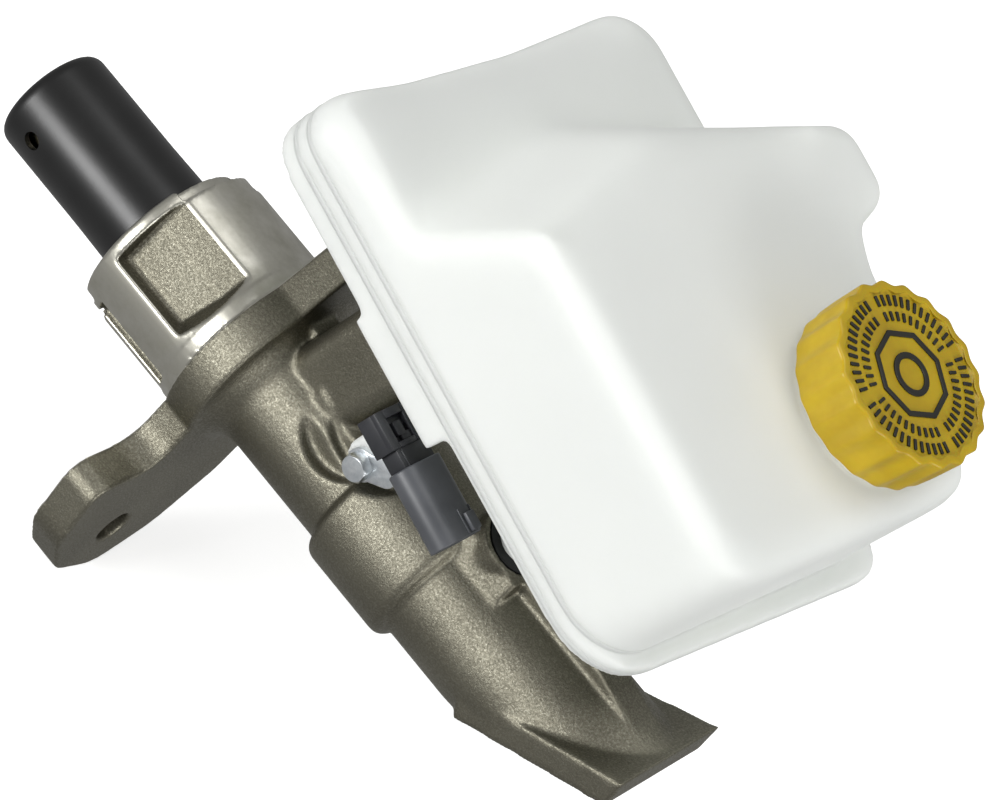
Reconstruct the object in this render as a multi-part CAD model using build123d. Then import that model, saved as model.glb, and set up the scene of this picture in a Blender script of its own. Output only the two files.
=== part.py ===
from build123d import *
import os
from math import cos, radians, sin

# Tandem brake master cylinder with its fluid reservoir.
# +X runs forward along the bore, away from the brake booster; +Z is up; +Y is the outlet side.
# The origin is where the bore axis crosses the booster face of the flange.
# The reservoir is level while the bore is nose-up, so it has a frame of its own, tilted about Y.

# Driving dimensions, mm

reservoir_tilt = 14.5        # degrees between the bore and the level reservoir

# cylinder body
snout_radius = 24.05         # pilot that enters the booster shell
snout_length = 33.7
pilot_start = -4.0           # the pilot band runs from here to the flange
pilot_step = 0.30            # the rest of the snout is this much under the pilot's radius
ring_groove = (-1.3, -0.3)
pocket_angles = (23.7, 80.4)     # degrees from +Z towards -Y
pocket_ridge_angle = 45.0
pocket_ridge_radius = 20.6
pocket_deep_radius = 19.0
sector_rear = -30.3
lip_radius = 20.5
flange_radius = 26.0
flange_thickness = 9.6
ear_thickness = 9.5
stud_circle = 112.4          # diameter through the two stud holes
stud_angle = 25.3            # degrees from straight down towards -Y
stud_hole_radius = 4.7
barrel_radius = 18.3
collar_radius = 21.4
collar_start = 47.0
collar_end = 74.0
foot_slope = 27.7            # degrees, underside of the foot against the bore
foot_start = 86.4            # where the sloping underside leaves the barrel
foot_front = 141.0
foot_plate = 8.0
foot_near_width = (17.6, 20.4)   # from the bore's plane to the near edge: rear, front
foot_far_width = (16.0, 18.2)
foot_edge_start = 101.0          # where the plate's side edges leave the barrel

# bore and what runs in it
bore_radius = 12.7
bore_end = 86.0
bore_clearance = 0.05
rod_radius = 11.0
rod_rear = -74.0
mouth_radius = 15.5
mouth_depth = 21.7
bush_length = 12.0
circlip_thickness = 1.3
seal_offset = 6.5            # from the bush's rear face
ring_offset = 1.8            # the same, for the bush's outer ring
cup_width = 4.2
cup_root = 9.4               # radius at the bottom of a seal groove
primary_head = 20.0
primary_gap = 27.0
secondary_length = 26.0
primary_stroke = 30.0
spring_wire = 2.2
spring_pocket_depth = 9.0
spring_pocket_radius = 9.6

# guard tube
guard_end = -79.0
guard_radius = 14.7
guard_root_radius = 15.15
guard_wall = 1.5
guard_window_radius = 2.3
guard_window_turn = 92.0     # degrees from +Z towards -Y

# reservoir, in its own level frame: l forward, t towards +Y, h up
floor_front = 60.5
floor_lobe = 53.5
floor_rear = 57.0
floor_notch = 63.5           # raised floor over the upper flange ear
weld_height = 66.0
rear_top = 80.0
main_top = 112.0
slope_foot = 12.0            # sloping rear wall of the high part, from its bend
slope_top = 27.5
slope_bend_l = -21.0
slope_bend_t = 31.0
shell_wall = 2.5
near_wall = -24.0
near_wall_top = -20.5
rear_wall = -36.0            # at the near corner
rear_wall_mid = -30.0
front_wall = (106.5, 112.5)  # at the near and the far side
front_rim = (110.5, 119.5)
far_front_wall = 75.0
far_front_rim = 84.5
far_rear_wall = 92.5
far_corner_wall = 99.0
lobe_start = 12.0
lobe_end = 45.0
notch_end = 4.0
notch_sides = (8.0, 46.0)
port_lengthwise = (20.0, 72.4)
nipple_radius = 4.2
nipple_bore = 2.8
grommet_radius = 6.4
grommet_height = 5.5         # all of it sits below the boss's top face
grommet_flange = 1.6         # how far its rim reaches past its body
grommet_rim = 2.0
port_boss_top = (45.0, 43.5)
port_boss_reach = 11.5       # half the length of the rear boss
port_boss_half_width = 12.0

# filler neck and cap
filler_l = 82.5
filler_t = 46.8
neck_radius = 19.2
neck_wall = 2.6
neck_height = 13.0
cap_radius = 23.3
cap_bore_radius = 19.6
cap_bottom_gap = 2.5
cap_height = 15.5
cap_top_wall = 2.5
cap_lobes = 20
cap_scallop_radius = 2.4
cap_scallop_depth = 1.1

# level sensor
sensor_l = 37.0
sensor_t = -21.5
sensor_h = 46.3
head_length = 9.4
head_width = 13.4
head_height = 6.2
neck_length = 4.6
socket_length = 20.0
socket_width = 14.8
socket_height = 8.4
socket_wall = 1.25
stem_radius = 3.2
stem_end = 12.0
float_radius = 9.0
float_height = 13.0
float_l = 32.4
float_t = 13.0
float_travel = 22.0
magnet_offset = 5.6
magnet_radius = 1.6
post_radius = 2.0

# reservoir bolt
bolt_x = 45.0
bolt_above_bore = 2.9        # from the bore's wall up to the bolt's axis
bolt_seat = -11.3            # near face of the casting's lug
tab_thickness = 3.0
plate_thickness = 1.5
bolt_hex = 6.35              # across flats
bolt_head_height = 3.0
bolt_shank_radius = 2.1

# outlet ports, on the far side
outlet_x = (38.0, 79.0)
outlet_thread_radius = 5.0
outlet_boss_radius = 10.0
outlet_reach = 16.3          # from the bore's wall out to the outlet's face
outlet_depth = 11.0
seat_radius = 3.6            # pocket of the cone seat, below the thread
seat_depth = 4.0

level = Rot(0, reservoir_tilt, 0)
tilt_sin = sin(radians(reservoir_tilt))
tilt_cos = cos(radians(reservoir_tilt))


# Small helpers

def rod(radius, x0, x1, y=0.0, z=0.0):
    """A cylinder along X between x0 and x1."""
    return Pos(x0, y, z) * Rot(0, 90, 0) * Cylinder(
        radius, x1 - x0, align=(Align.CENTER, Align.CENTER, Align.MIN))


def tube(outer, inner, x0, x1):
    return rod(outer, x0, x1) - rod(inner, x0 - 1, x1 + 1)


def post(radius, l, t, h0, h1):
    """An upright cylinder in the frame that it is placed in."""
    return Pos(l, t, h0) * Cylinder(
        radius, h1 - h0, align=(Align.CENTER, Align.CENTER, Align.MIN))


def cross_rod(radius, x, z, y0, y1):
    """A cylinder along Y between y0 and y1."""
    return Pos(x, y0, z) * Rot(-90, 0, 0) * Cylinder(
        radius, y1 - y0, align=(Align.CENTER, Align.CENTER, Align.MIN))


def block(x0, x1, y0, y1, z0, z1):
    return Pos(x0, y0, z0) * Box(
        x1 - x0, y1 - y0, z1 - z0, align=(Align.MIN, Align.MIN, Align.MIN))


def turned(points):
    """A solid turned about X from an outline of (x, radius) points."""
    outline = Polyline(*[(x, 0, r) for x, r in points], close=True)
    return revolve(make_face(outline), Axis.X)


def plan_prism(points, radii, h0, h1):
    """An upright prism with its corners rounded, from (l, t) points."""
    face = make_face(Polyline(*[(l, t, 0) for l, t in points], close=True))
    for (l, t), radius in zip(points, radii):
        if radius > 0:
            corner = face.vertices().sort_by_distance((l, t, 0))[0]
            face = fillet(corner, radius)
    return Pos(0, 0, h0) * extrude(face, h1 - h0, dir=(0, 0, 1))


def coil(radius, wire, x0, x1, turns):
    """A compression spring along X whose wire lies between x0 and x1."""
    span = x1 - x0 - wire
    line = Helix(pitch=span / turns, height=span, radius=radius)
    start = Plane(origin=line @ 0, z_dir=line % 0)
    wound = sweep(start * Circle(wire / 2), path=line)
    return Pos(x0 + wire / 2, 0, 0) * Rot(0, 90, 0) * wound


# Derived places along the bore

mouth_floor = -snout_length + mouth_depth
head_rear = mouth_floor + 0.1
head_front = head_rear + primary_head
secondary_rear = head_front + primary_gap
secondary_front = secondary_rear + secondary_length
slope = radians(foot_slope)
bush_rear = mouth_floor - bush_length
circlip_rear = bush_rear - circlip_thickness
bolt_z = bore_radius + bolt_above_bore
outlet_face = bore_radius + outlet_reach
primary_cup_x = head_front - 7.0
separating_cup_x = secondary_rear + 5.5
secondary_cup_x = secondary_front - cup_width - 9.0
plate_near = bolt_seat - tab_thickness - plate_thickness


# Cylinder body

def ear(side):
    """One flange ear; side is 1 for the lower ear and -1 for the upper one."""
    if side > 0:
        outline = [(-22, -8), (-26, -25), (-46, -26), (-47, -46), (-38, -61),
                   (-21, -67.5), (-4, -59.5), (8, -45), (21, -15)]
        rounding = [0, 9, 5, 12, 10, 13, 20, 0, 0]
    else:
        reach = stud_circle / 2
        out_y = reach * sin(radians(stud_angle))
        out_z = reach * cos(radians(stud_angle))
        outline = [(-21, 12), (out_y - 11, out_z - 4), (out_y - 9, out_z + 10.5),
                   (out_y + 10.5, out_z + 10.5), (out_y + 14, out_z - 12), (25, 2)]
        rounding = [0, 12, 9, 9, 14, 0]
    face = make_face(Polyline(*[(0, y, z) for y, z in outline], close=True))
    for (y, z), radius in zip(outline, rounding):
        if radius > 0:
            corner = face.vertices().sort_by_distance((0, y, z))[0]
            face = fillet(corner, radius)
    return extrude(face, ear_thickness, dir=(1, 0, 0))


def polar(radius, angle):
    """A point in the plane across the bore; the angle is from +Z towards -Y."""
    return (0, -radius * sin(radians(angle)), radius * cos(radians(angle)))


def sector(start, end, inner, x0, x1):
    """A block between two angles round the bore, from an inner radius outwards."""
    middle = (start + end) / 2
    face = make_face(Polyline(polar(0, 0), polar(45, start), polar(50, middle), polar(45, end), close=True))
    return Pos(x0, 0, 0) * extrude(face, x1 - x0, dir=(1, 0, 0)) - rod(inner, x0 - 1, x1 + 1)


def snout_pocket():
    """The large cast pocket: deep at one side, running out flush at the other."""
    start, end = pocket_angles
    ridge = pocket_ridge_angle
    face = make_face(Polyline(polar(pocket_deep_radius, end - 0.6), polar(pocket_ridge_radius, ridge),
                              polar(snout_radius, start), polar(32, start - 1), polar(42, ridge),
                              polar(32, end), close=True))
    cutter = Pos(sector_rear, 0, 0) * extrude(face, -sector_rear, dir=(1, 0, 0))
    side = make_face(Polyline((sector_rear, 0, 10), (-9.6, 0, 17), (-4.0, 0, snout_radius + 0.2),
                              (-4.0, 0, 40), (sector_rear, 0, 40), close=True))
    side = Pos(0, 30, 0) * extrude(side, 60, dir=(0, -1, 0))
    return cutter & (Rot(pocket_ridge_angle + 7, 0, 0) * side)


def snout():
    """The machined snout with its cast pockets; the far half repeats the near half."""
    body = rod(snout_radius - pilot_step, -snout_length, 1)
    body = chamfer(body.edges().filter_by(GeomType.CIRCLE).sort_by(Axis.X)[0], 0.8)
    cuts = snout_pocket()
    cuts += sector(-60, pocket_angles[0] + 3.5, lip_radius, -snout_length - 1, sector_rear)
    cuts += sector(113.5, 127.5, snout_radius - 2.6, -28.0, -4.5)
    cuts += sector(127.0, 150.0, snout_radius - 1.8, -snout_length - 1, -26.9)
    for turn in (0, 180):
        body -= Rot(turn, 0, 0) * cuts
    return body + rod(snout_radius, pilot_start, 1)


def rear_port_boss():
    """The tall boss of the rear port, flat on its near side; in the reservoir's frame."""
    l = port_lengthwise[0]
    reach = port_boss_reach
    tall = plan_prism([(l - reach, bolt_seat), (l + reach, bolt_seat),
                       (l + reach, port_boss_half_width), (l - reach, port_boss_half_width)],
                      [5, 5, 5, 5], 8, port_boss_top[0])
    return tall + block(l, lobe_end, -port_boss_half_width, port_boss_half_width, 8, 23)


def front_port_boss():
    """The low boss of the front port, with sloping sides."""
    top = barrel_radius + 3.6
    face = make_face(Polyline((0, -11.8, 12), (0, -8.2, top), (0, 8.2, top), (0, 11.8, 12), close=True))
    return Pos(collar_end - 6, 0, 0) * extrude(face, 21.5, dir=(1, 0, 0))


def top_rib():
    """The rib along the top of the barrel, which runs out towards the foot."""
    top = barrel_radius + 3.6
    side = make_face(Polyline((collar_end, 0, 8), (collar_end, 0, top), (foot_front - 25, 0, top),
                              (foot_front - 6, 0, barrel_radius - 1), (foot_front - 6, 0, 8), close=True))
    return Pos(0, 4.6, 0) * extrude(side, 9.2, dir=(0, -1, 0))


def stud_point(side):
    reach = stud_circle / 2
    y = -side * reach * sin(radians(stud_angle))
    z = -side * reach * cos(radians(stud_angle))
    return y, z


def cylinder_body():
    body = snout()
    body += rod(flange_radius, 0, flange_thickness)
    body += ear(1) + ear(-1)
    # barrel, with a concave sweep out to the flange
    root = 7.0
    sweep_out = turned([(0, 0), (0, barrel_radius + root), (flange_thickness, barrel_radius + root),
                        (flange_thickness + root, barrel_radius + root),
                        (flange_thickness + root, 0)])
    ring = Pos(flange_thickness + root, 0, 0) * Rot(0, 90, 0) * Torus(barrel_radius + root, root)
    sweep_out -= ring
    sweep_out -= tube(barrel_radius + root + 5, barrel_radius + root,
                      flange_thickness, flange_thickness + root + 1)
    body += sweep_out
    body += rod(barrel_radius, 0, foot_front + 4)
    collar = rod(collar_radius, collar_start, collar_end)
    collar = fillet(collar.edges().filter_by(GeomType.CIRCLE), 2.6)
    body += collar
    # port bosses, upright in the reservoir's frame
    body += level * rear_port_boss()
    body += level * post(grommet_radius + grommet_flange + 1.6, port_lengthwise[1], 0, 20, port_boss_top[1])
    body += front_port_boss()
    # top ribs
    body += block(flange_thickness - 1, 30, -4.5, 4.5, 10, barrel_radius + 3.0)
    body += top_rib()
    # lobe on the flange's lower edge, on the outlet side
    body += rod(4.6, 1, flange_thickness, 5, -40)
    # outlet bosses
    for x in outlet_x:
        body += cross_rod(outlet_boss_radius, x, 0, 8, outlet_face)
    # foot plate, sloping up towards the front
    rise = (foot_front - foot_start) / cos(slope)
    start = (foot_edge_start - foot_start) / cos(slope)
    plate = make_face(Polyline((start - 8, -6, 0), (start, -foot_near_width[0], 0),
                               (rise + 4, -foot_near_width[1], 0), (rise + 4, foot_far_width[1], 0),
                               (start, foot_far_width[0], 0), (start - 8, 6, 0), close=True))
    plate = extrude(plate, foot_plate, dir=(0, 0, 1))
    body += Pos(foot_start, 0, -barrel_radius) * Rot(0, -foot_slope, 0) * plate
    # everything under the sloping face and ahead of the front face is cut away
    under = Pos(foot_start, 0, -barrel_radius) * Rot(0, -foot_slope, 0) * block(
        -30, 120, -60, 60, -60, 0)
    body -= under & block(foot_start - 6, 220, -60, 60, -120, 60)
    body -= block(foot_front, foot_front + 60, -60, 60, -60, 60)
    # scoop that clears the reservoir tab and its bolt
    scoop = cross_rod(17.0, bolt_x - 3, bolt_z + 11.5, -40, bolt_seat)
    scoop += cross_rod(11.3, bolt_x - 8.5, bolt_z + 1, -40, bolt_seat - 2.7)
    body -= scoop
    body += cross_rod(6.0, bolt_x, bolt_z, bolt_seat, -3)
    body -= cross_rod(bolt_shank_radius, bolt_x, bolt_z, bolt_seat - 1, -4.5)
    # bore, mouth and grooves
    body -= rod(bore_radius, mouth_floor - 1, bore_end)
    body -= rod(mouth_radius, -snout_length - 1, mouth_floor)
    body -= rod(mouth_radius + 1.1, circlip_rear, bush_rear)
    body -= tube(snout_radius + 3, snout_radius - 2.0, ring_groove[0], ring_groove[1])
    # fluid ways from the reservoir ports
    for l, top in zip(port_lengthwise, port_boss_top):
        body -= level * post(grommet_radius, l, 0, top - grommet_height, top + 1)
        body -= level * post(grommet_radius + grommet_flange, l, 0, top - grommet_rim, top + 1)
        body -= level * post(nipple_radius + 0.4, l, 0, top - grommet_height - 2.0, top)
        body -= level * post(1.2, l, 0, 5, top)
    # outlets
    for x in outlet_x:
        body -= cross_rod(outlet_thread_radius, x, 0, outlet_face - outlet_depth, outlet_face + 1)
        body -= cross_rod(seat_radius, x, 0, outlet_face - outlet_depth - seat_depth, outlet_face)
        body -= cross_rod(2.0, x, 0, 6, outlet_face)
    # stud holes
    for side in (1, -1):
        y, z = stud_point(side)
        body -= rod(stud_hole_radius, -1, ear_thickness + 1, y, z)
    return body


# Pistons, springs and seals

def guide_bush():
    bush = tube(mouth_radius, rod_radius + bore_clearance, bush_rear, mouth_floor)
    seal_start = bush_rear + seal_offset
    ring_start = bush_rear + ring_offset
    bush -= tube(rod_radius + 2.5, rod_radius - 1, seal_start, seal_start + 4.0)
    bush -= tube(mouth_radius + 1, mouth_radius - 2.4, ring_start, ring_start + 2.4)
    return bush


def primary_rear_seal():
    start = bush_rear + seal_offset
    seal = tube(rod_radius + 2.5, rod_radius + bore_clearance, start, start + 4.0)
    return seal - tube(rod_radius + 1.7, rod_radius + 0.7, start + 2.0, start + 5.0)


def guide_o_ring():
    centre = bush_rear + ring_offset + 1.2
    return Pos(centre, 0, 0) * Rot(0, 90, 0) * Torus(mouth_radius - 1.2, 1.2)


def circlip():
    ring = tube(mouth_radius + 1.1, mouth_radius - 1.9, circlip_rear, bush_rear)
    return ring - block(circlip_rear - 1, bush_rear + 1, -3, 3, -30, 0)


def snout_o_ring():
    return tube(snout_radius - 0.25, snout_radius - 2.0, ring_groove[0], ring_groove[1])


def cup(x0, width, root_radius, lip_forward):
    """A lip seal on a piston, open towards the pressure side."""
    outer = bore_radius - bore_clearance
    ring = tube(outer, root_radius, x0, x0 + width)
    groove = tube(outer - 0.9, root_radius + 0.8, x0 + width * 0.45, x0 + width + 1)
    if not lip_forward:
        groove = tube(outer - 0.9, root_radius + 0.8, x0 - 1, x0 + width * 0.55)
    return ring - groove


def primary_piston():
    run = bore_radius - bore_clearance
    body = rod(rod_radius, rod_rear, head_rear) + rod(run, head_rear, head_front)
    body -= tube(run + 1, cup_root, primary_cup_x, primary_cup_x + cup_width)
    body -= rod(spring_pocket_radius - 1.6, head_front - spring_pocket_depth, head_front + 1)
    body -= rod(6.0, rod_rear - 1, rod_rear + 20)
    lead = body.faces().filter_by(Axis.X).sort_by(Axis.X)[0]
    return chamfer(lead.edges().filter_by(GeomType.CIRCLE).sort_by(SortBy.LENGTH)[-1], 1.2)


def secondary_piston():
    run = bore_radius - bore_clearance
    body = rod(run, secondary_rear, secondary_front)
    body -= tube(run + 1, run - 1.4, secondary_rear - 1, separating_cup_x - 1.2)
    body -= tube(run + 1, cup_root, separating_cup_x, separating_cup_x + cup_width)
    body -= tube(run + 1, cup_root, secondary_cup_x, secondary_cup_x + cup_width)
    body -= rod(spring_pocket_radius - 1.6, secondary_front - 5.0, secondary_front + 1)
    return body


def spring_seat(x0, forward):
    """A pressed steel cup that centres the end of a spring."""
    pocket = spring_pocket_radius - 1.6
    if forward:
        seat = rod(pocket, x0, x0 + 3.0) - rod(pocket - 0.8, x0 + 0.8, x0 + 4)
    else:
        seat = rod(pocket, x0 - 3.0, x0) - rod(pocket - 0.8, x0 - 4, x0 - 0.8)
    return seat - rod(2.0, x0 - 5, x0 + 5)


def tube_seats():
    """The hardened cone seats below the two outlet threads."""
    seats = Part()
    for x in outlet_x:
        low = outlet_face - outlet_depth - seat_depth
        cone = Pos(x, low + 1.5, 0) * Rot(-90, 0, 0) * Cone(
            seat_radius, 2.0, seat_depth - 1.7, align=(Align.CENTER, Align.CENTER, Align.MIN))
        seat = cross_rod(seat_radius, x, 0, low, low + 1.5) + cone
        seats += seat - cross_rod(1.4, x, 0, low - 1, low + 6)
    return seats


def guard_tube():
    open_end = circlip_rear - 0.4
    outer = turned([(guard_end, 0), (guard_end, guard_radius), (guard_end + 30, guard_radius),
                    (open_end, guard_root_radius), (open_end, 0)])
    outer = fillet(outer.edges().filter_by(GeomType.CIRCLE).sort_by(Axis.X)[0], 3.0)
    inside = rod(guard_radius - guard_wall, guard_end + guard_wall, open_end + 1)
    outer -= fillet(inside.edges().filter_by(GeomType.CIRCLE).sort_by(Axis.X)[0], 1.5)
    window = Rot(guard_window_turn, 0, 0) * post(guard_window_radius, guard_end + 10.0, 0, 5, 25)
    return outer - window


# Reservoir, all in the level frame

def reservoir_room(inset):
    """The upper shell's outer form, or with an inset the space inside it."""
    near = near_wall + inset
    base = weld_height - (0.01 if inset else 0.0)
    rear = plan_prism(
        [(rear_wall + inset, near), (lobe_end, near), (lobe_end, far_rear_wall - inset),
         (rear_wall_mid + 1 + inset, far_rear_wall - inset), (rear_wall_mid + 1.5 + inset, 45),
         (rear_wall_mid - 1 + inset, 7)],
        [11 - inset, 0, 0, 14 - inset, 30, 30], base, rear_top - inset)
    rear = fillet(rear.faces().sort_by(Axis.Z)[-1].edges().filter_by(
        lambda e: e.center().X < lobe_end - 1), 7.0 - inset)
    corners = [(-12 + inset, near), (front_wall[0] - inset, near),
               (front_wall[1] - inset, far_front_wall - inset),
               (57 - inset * 0.5, far_front_wall + 5 - inset), (47 - inset, far_front_wall + 9 - inset),
               (43 - inset, far_corner_wall - inset), (24 + inset, far_corner_wall - inset),
               (-12 + inset, 40)]
    rounds = [0, 18 - inset, 8 - inset * 0.6, 10, 8 + inset * 0.5, 7 - inset, 8 - inset, 0]
    main = plan_prism(corners, rounds, base, main_top - inset)
    main = fillet(main.faces().sort_by(Axis.Z)[-1].edges(), 6.5 - inset)
    # sloping rear wall of the high part, skewed in plan
    foot_l = slope_foot + inset
    top_l = slope_top + inset
    low = rear_top - inset
    rise = main_top - rear_top
    high = low + 2 * rise
    back = make_face(Polyline((foot_l - 60, 0, low), (foot_l, 0, low), (top_l * 2 - foot_l, 0, high),
                              (foot_l - 60, 0, high), close=True))
    bend = Pos(slope_bend_l, slope_bend_t, 0)
    main -= bend * extrude(back, 56, dir=(0.23, -1, 0))
    main -= bend * extrude(back, 90, dir=(0.27, 1, 0))
    # the near wall leans in towards the top
    lean = make_face(Polyline((0, near, weld_height), (0, near_wall_top + inset, main_top),
                              (0, near - 30, main_top), (0, near - 30, weld_height), close=True))
    return rear + main - Pos(-60, 0, 0) * extrude(lean, 240, dir=(1, 0, 0))


def upper_shell():
    shell = reservoir_room(0) - reservoir_room(shell_wall)
    neck_top = main_top + neck_height
    shell += post(neck_radius, filler_l, filler_t, main_top - 3, neck_top)
    shell -= post(neck_radius - neck_wall, filler_l, filler_t, main_top - 6, neck_top + 1)
    return shell


def weld_outline(inset, h0, h1):
    """The plan outline where the two shells are welded together."""
    near = near_wall + inset
    points = [(rear_wall + inset, near), (front_rim[0] - inset, near),
              (front_rim[1] - inset, far_front_rim - inset),
              (50 - inset, far_front_rim - inset), (43 - inset, far_corner_wall - inset),
              (24 + inset, far_corner_wall - inset), (10, far_rear_wall - inset),
              (rear_wall_mid + 1 + inset, far_rear_wall - inset), (rear_wall_mid + 1.5 + inset, 45),
              (rear_wall_mid - 1 + inset, 7)]
    rounds = [11 - inset, 21 - inset, 8 - inset, 8, 7 - inset, 7 - inset, 12, 14 - inset, 30, 30]
    return plan_prism(points, rounds, h0, h1)


def lower_shell():
    lowest = floor_lobe - 1
    shell = weld_outline(0, floor_lobe, weld_height)
    shell -= block(-80, lobe_start, -60, 160, lowest, floor_rear)
    shell -= block(lobe_end, 200, -60, 160, lowest, floor_front)
    shell -= block(-80, notch_end, *notch_sides, lowest, floor_notch)
    # the space inside, level by level
    cavity = weld_outline(shell_wall, floor_lobe + shell_wall, weld_height + 1)
    cavity -= block(-80, lobe_start + shell_wall, -60, 160, 0, floor_rear + shell_wall)
    cavity -= block(lobe_end - shell_wall, 200, -60, 160, 0, floor_front + shell_wall)
    cavity -= block(-80, notch_end + shell_wall, notch_sides[0] - shell_wall, notch_sides[1] + shell_wall,
                    0, weld_height + 2)
    inner_front = make_face(Polyline((front_wall[0] - shell_wall, near_wall, 0),
                                     (front_wall[1] - shell_wall, far_front_wall, 0),
                                     (front_wall[1] - shell_wall, 160, 0), (200, 160, 0),
                                     (200, near_wall, 0), close=True))
    cavity -= extrude(inner_front, weld_height + 2, dir=(0, 0, 1))
    shell -= cavity
    # port nipples
    for l, top in zip(port_lengthwise, port_boss_top):
        floor = floor_lobe if l < lobe_end else floor_front
        shell += post(nipple_radius + 2.2, l, 0, top, floor + 1)
        shell += post(nipple_radius, l, 0, top - grommet_height + 0.1, floor + 1)
        shell -= post(nipple_bore, l, 0, top - grommet_height - 1, floor + shell_wall + 1)
    # sleeve for the level sensor, its web, and the tab that the bolt holds
    sleeve_start = sensor_t + head_width / 2 + 0.1
    sleeve = cross_rod(stem_radius + 2.2, sensor_l, sensor_h, sleeve_start, stem_end + 3)
    web = block(sensor_l - 1.5, sensor_l + 1.5, -12, 13, sensor_h + 1, floor_lobe + 1)
    bolt_l = bolt_x * tilt_cos - bolt_z * tilt_sin
    bolt_h = bolt_x * tilt_sin + bolt_z * tilt_cos
    tab = block(bolt_l - 6, bolt_l + 4, bolt_seat - tab_thickness, bolt_seat, bolt_h, floor_lobe + 1)
    tab += cross_rod(5.0, bolt_l - 1, bolt_h, bolt_seat - tab_thickness, bolt_seat)
    shell += sleeve + web + tab
    shell -= cross_rod(stem_radius + 0.1, sensor_l, sensor_h, sleeve_start - 1, stem_end + 0.5)
    shell -= cross_rod(bolt_shank_radius + 0.1, bolt_l, bolt_h, bolt_seat - 8, bolt_seat + 1)
    # post that guides the float
    post_top = floor_lobe + float_height + float_travel + 8
    return shell + post(post_radius, float_l, float_t, floor_lobe + 1, post_top)


def grommet(l, top):
    ring = post(grommet_radius, l, 0, top - grommet_height, top)
    ring += post(grommet_radius + grommet_flange, l, 0, top - grommet_rim, top)
    return ring - post(nipple_radius, l, 0, top - grommet_height - 1, top + 1)


def filter_basket():
    outer = neck_radius - neck_wall - 0.3
    top = main_top + neck_height
    basket = post(outer, filler_l, filler_t, main_top - 20, top - 2)
    basket -= post(outer - 1.0, filler_l, filler_t, main_top - 19, top)
    for turn in range(8):
        slot = Rot(0, 0, 45 * turn) * block(5, outer + 3, -3.6, 3.6, main_top - 16, main_top - 4)
        basket -= Pos(filler_l, filler_t, 0) * slot
    return basket


def cap_diaphragm():
    top = main_top + neck_height
    seal = post(neck_radius - 0.2, filler_l, filler_t, top + 0.1, top + 1.6)
    inner = neck_radius - neck_wall - 3.2
    seal += post(inner, filler_l, filler_t, top - 8, top + 1)
    seal -= post(inner - 1.4, filler_l, filler_t, top - 6.6, top + 3)
    return seal


def filler_cap():
    low = main_top + cap_bottom_gap
    cap = post(cap_radius, filler_l, filler_t, low, low + cap_height)
    cap = fillet(cap.edges().filter_by(GeomType.CIRCLE).sort_by(Axis.Z)[-1], 1.8)
    cap -= post(cap_bore_radius, filler_l, filler_t, low - 1, low + cap_height - cap_top_wall)
    cap -= post(cap_radius - 3.4, filler_l, filler_t, low + cap_height - 0.7, low + cap_height + 1)
    for step in range(cap_lobes):
        turn = 360 / cap_lobes * step
        reach = cap_radius + cap_scallop_radius - cap_scallop_depth
        cutter = post(cap_scallop_radius, reach, 0, low - 1, low + cap_height + 1)
        cap -= Pos(filler_l, filler_t, 0) * Rot(0, 0, turn) * cutter
    return cap


def cap_marking():
    """A plain raised ring inside an octagon; it carries no lettering."""
    low = main_top + cap_bottom_gap + cap_height - 0.7
    place = Pos(filler_l, filler_t, low)
    eight = RegularPolygon(10.8, 8) - RegularPolygon(9.2, 8)
    ring = Circle(5.3) - Circle(4.2)
    arcs = (Circle(7.6) - Circle(6.7)) & Rectangle(20, 9)
    return place * extrude(eight + ring + arcs, 0.5)


def float_body():
    low = floor_lobe + shell_wall + 0.5
    ring = post(float_radius, float_l, float_t, low, low + float_height)
    ring = fillet(ring.edges().filter_by(GeomType.CIRCLE), 1.2)
    ring -= post(post_radius + 0.4, float_l, float_t, low - 1, low + float_height + 1)
    return ring - post(magnet_radius, float_l, float_t - magnet_offset, low - 1, low + 4)


def float_magnet():
    low = floor_lobe + shell_wall + 0.5
    return post(magnet_radius, float_l, float_t - magnet_offset, low + 0.2, low + 4)


def stadium(width, height, l0, l1):
    """A rounded bar along l, wider along t than it is high."""
    half = (width - height) / 2
    bar = block(l0, l1, -half, half, -height / 2, height / 2)
    for side in (-half, half):
        bar += Pos(l0, side, 0) * Rot(0, 90, 0) * Cylinder(
            height / 2, l1 - l0, align=(Align.CENTER, Align.CENTER, Align.MIN))
    return bar


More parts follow.
